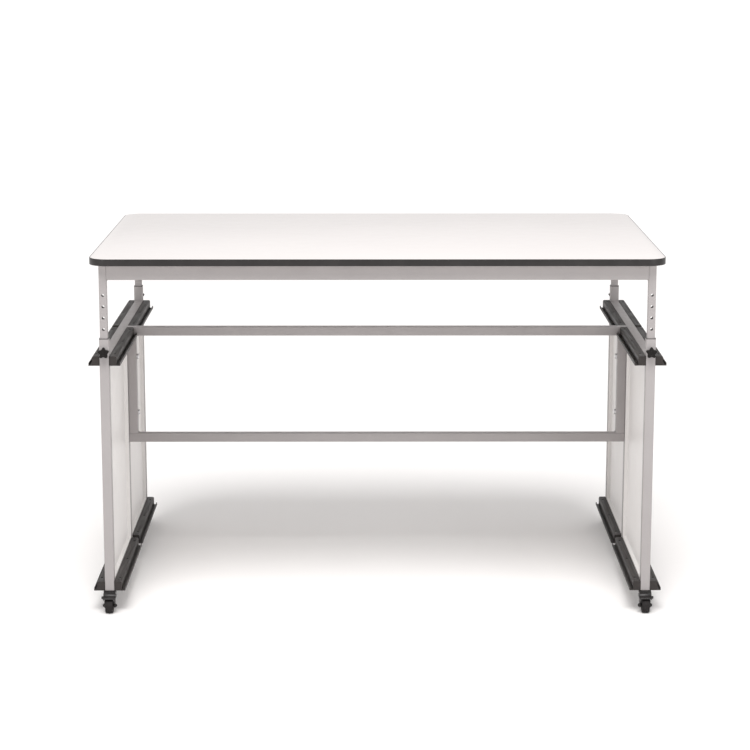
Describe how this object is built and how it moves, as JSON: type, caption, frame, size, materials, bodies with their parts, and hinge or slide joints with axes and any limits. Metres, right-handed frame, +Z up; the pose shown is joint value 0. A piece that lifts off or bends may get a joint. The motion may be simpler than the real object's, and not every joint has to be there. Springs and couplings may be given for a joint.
{
  "type": "drafting table",
  "caption": "Height-adjustable drafting table: white worktop with black edge on a grey tube frame, with side panels, black tray runners and braked castors.",
  "frame": {"origin": "on the floor, below the middle of the worktop", "axes": "+X to the right along the worktop, -Y towards the front, +Z up"},
  "size_m": [1.512, 0.951, 0.955],
  "materials": {
    "coated_steel": "fine-textured light grey powder coat",
    "white_laminate": "white high-pressure laminate, satin",
    "board": "particle board with a white melamine underside",
    "edge_band": "black plastic edge band",
    "panel": "white coated sheet steel with folded edges",
    "black_plastic": "moulded black nylon",
    "runner_plastic": "extruded black plastic, satin",
    "knob_plastic": "moulded black nylon",
    "wheel": "black rubber-tyred wheel",
    "castor_black": "black lacquered steel",
    "axle_black": "blackened steel",
    "zinc_steel": "zinc plated",
    "screw_black": "blackened steel"
  },
  "bodies": {
    "base": {"outer_leg_front_left": "coated_steel", "outer_leg_front_right": "coated_steel", "outer_leg_rear_left": "coated_steel", "outer_leg_rear_right": "coated_steel", "leg_guides": "black_plastic", "upper_beam_left": "coated_steel", "upper_beam_right": "coated_steel", "lower_beam_left": "coated_steel", "lower_beam_right": "coated_steel", "mid_post_left": "coated_steel", "mid_post_right": "coated_steel", "side_panels_left": "panel", "side_panels_right": "panel", "welded_tabs": "coated_steel", "panel_rivets": "panel", "crossbar_upper": "coated_steel", "crossbar_lower": "coated_steel", "crossbar_post_left": "coated_steel", "crossbar_post_right": "coated_steel", "frame_bolts": "zinc_steel", "upper_runners_left": "runner_plastic", "upper_runners_right": "runner_plastic", "lower_runners_left": "runner_plastic", "lower_runners_right": "runner_plastic", "runner_screws": "screw_black", "castor_sockets": "black_plastic"},
    "worktop_frame": {"laminate_top": "white_laminate", "tabletop": "board", "edge_band": "edge_band", "apron_front": "coated_steel", "apron_rear": "coated_steel", "apron_left": "coated_steel", "apron_right": "coated_steel", "inner_leg_front_left": "coated_steel", "inner_leg_front_right": "coated_steel", "inner_leg_rear_left": "coated_steel", "inner_leg_rear_right": "coated_steel", "leg_glides": "black_plastic", "top_brackets": "coated_steel", "top_screws": "zinc_steel"},
    "knob_front_left": {"knob_front_left": "knob_plastic"},
    "castor_front_left": {"castor_fork_front_left": "castor_black", "castor_axle_front_left": "axle_black"},
    "wheel_front_left": {"castor_wheel_front_left": "wheel"},
    "brake_front_left": {"castor_brake_front_left": "castor_black"},
    "knob_front_right": {"knob_front_right": "knob_plastic"},
    "castor_front_right": {"castor_fork_front_right": "castor_black", "castor_axle_front_right": "axle_black"},
    "wheel_front_right": {"castor_wheel_front_right": "wheel"},
    "brake_front_right": {"castor_brake_front_right": "castor_black"},
    "knob_rear_left": {"knob_rear_left": "knob_plastic"},
    "castor_rear_left": {"castor_fork_rear_left": "castor_black", "castor_axle_rear_left": "axle_black"},
    "wheel_rear_left": {"castor_wheel_rear_left": "wheel"},
    "brake_rear_left": {"castor_brake_rear_left": "castor_black"},
    "knob_rear_right": {"knob_rear_right": "knob_plastic"},
    "castor_rear_right": {"castor_fork_rear_right": "castor_black", "castor_axle_rear_right": "axle_black"},
    "wheel_rear_right": {"castor_wheel_rear_right": "wheel"},
    "brake_rear_right": {"castor_brake_rear_right": "castor_black"}
  },
  "joints": [
    {"name": "height_slide", "type": "slide", "parent": "base", "child": "worktop_frame", "axis": [0, 0, 1], "range_m": [-0.15, 0]},
    {"name": "knob_turn_front_left", "type": "hinge", "parent": "base", "child": "knob_front_left", "pos_m": [-0.7145, -0.46, 0.707], "axis": [0, -1, 0], "range_deg": [0, 720]},
    {"name": "castor_swivel_front_left", "type": "hinge", "parent": "base", "child": "castor_front_left", "pos_m": [-0.7145, -0.4395, 0.055], "axis": [0, 0, 1], "continuous": true},
    {"name": "wheel_spin_front_left", "type": "hinge", "parent": "castor_front_left", "child": "wheel_front_left", "pos_m": [-0.7145, -0.4555, 0.02], "axis": [1, 0, 0], "continuous": true},
    {"name": "brake_pedal_front_left", "type": "hinge", "parent": "castor_front_left", "child": "brake_front_left", "pos_m": [-0.7145, -0.4375, 0.043], "axis": [1, 0, 0], "range_deg": [0, 8]},
    {"name": "knob_turn_front_right", "type": "hinge", "parent": "base", "child": "knob_front_right", "pos_m": [0.7145, -0.46, 0.707], "axis": [0, -1, 0], "range_deg": [0, 720]},
    {"name": "castor_swivel_front_right", "type": "hinge", "parent": "base", "child": "castor_front_right", "pos_m": [0.7145, -0.4395, 0.055], "axis": [0, 0, 1], "continuous": true},
    {"name": "wheel_spin_front_right", "type": "hinge", "parent": "castor_front_right", "child": "wheel_front_right", "pos_m": [0.7145, -0.4555, 0.02], "axis": [1, 0, 0], "continuous": true},
    {"name": "brake_pedal_front_right", "type": "hinge", "parent": "castor_front_right", "child": "brake_front_right", "pos_m": [0.7145, -0.4375, 0.043], "axis": [1, 0, 0], "range_deg": [0, 8]},
    {"name": "knob_turn_rear_left", "type": "hinge", "parent": "base", "child": "knob_rear_left", "pos_m": [-0.7145, 0.46, 0.707], "axis": [0, 1, 0], "range_deg": [0, 720]},
    {"name": "castor_swivel_rear_left", "type": "hinge", "parent": "base", "child": "castor_rear_left", "pos_m": [-0.7145, 0.4395, 0.055], "axis": [0, 0, 1], "continuous": true},
    {"name": "wheel_spin_rear_left", "type": "hinge", "parent": "castor_rear_left", "child": "wheel_rear_left", "pos_m": [-0.7145, 0.4555, 0.02], "axis": [1, 0, 0], "continuous": true},
    {"name": "brake_pedal_rear_left", "type": "hinge", "parent": "castor_rear_left", "child": "brake_rear_left", "pos_m": [-0.7145, 0.4375, 0.043], "axis": [-1, 0, 0], "range_deg": [0, 8]},
    {"name": "knob_turn_rear_right", "type": "hinge", "parent": "base", "child": "knob_rear_right", "pos_m": [0.7145, 0.46, 0.707], "axis": [0, 1, 0], "range_deg": [0, 720]},
    {"name": "castor_swivel_rear_right", "type": "hinge", "parent": "base", "child": "castor_rear_right", "pos_m": [0.7145, 0.4395, 0.055], "axis": [0, 0, 1], "continuous": true},
    {"name": "wheel_spin_rear_right", "type": "hinge", "parent": "castor_rear_right", "child": "wheel_rear_right", "pos_m": [0.7145, 0.4555, 0.02], "axis": [1, 0, 0], "continuous": true},
    {"name": "brake_pedal_rear_right", "type": "hinge", "parent": "castor_rear_right", "child": "brake_rear_right", "pos_m": [0.7145, 0.4375, 0.043], "axis": [-1, 0, 0], "range_deg": [0, 8]}
  ]
}
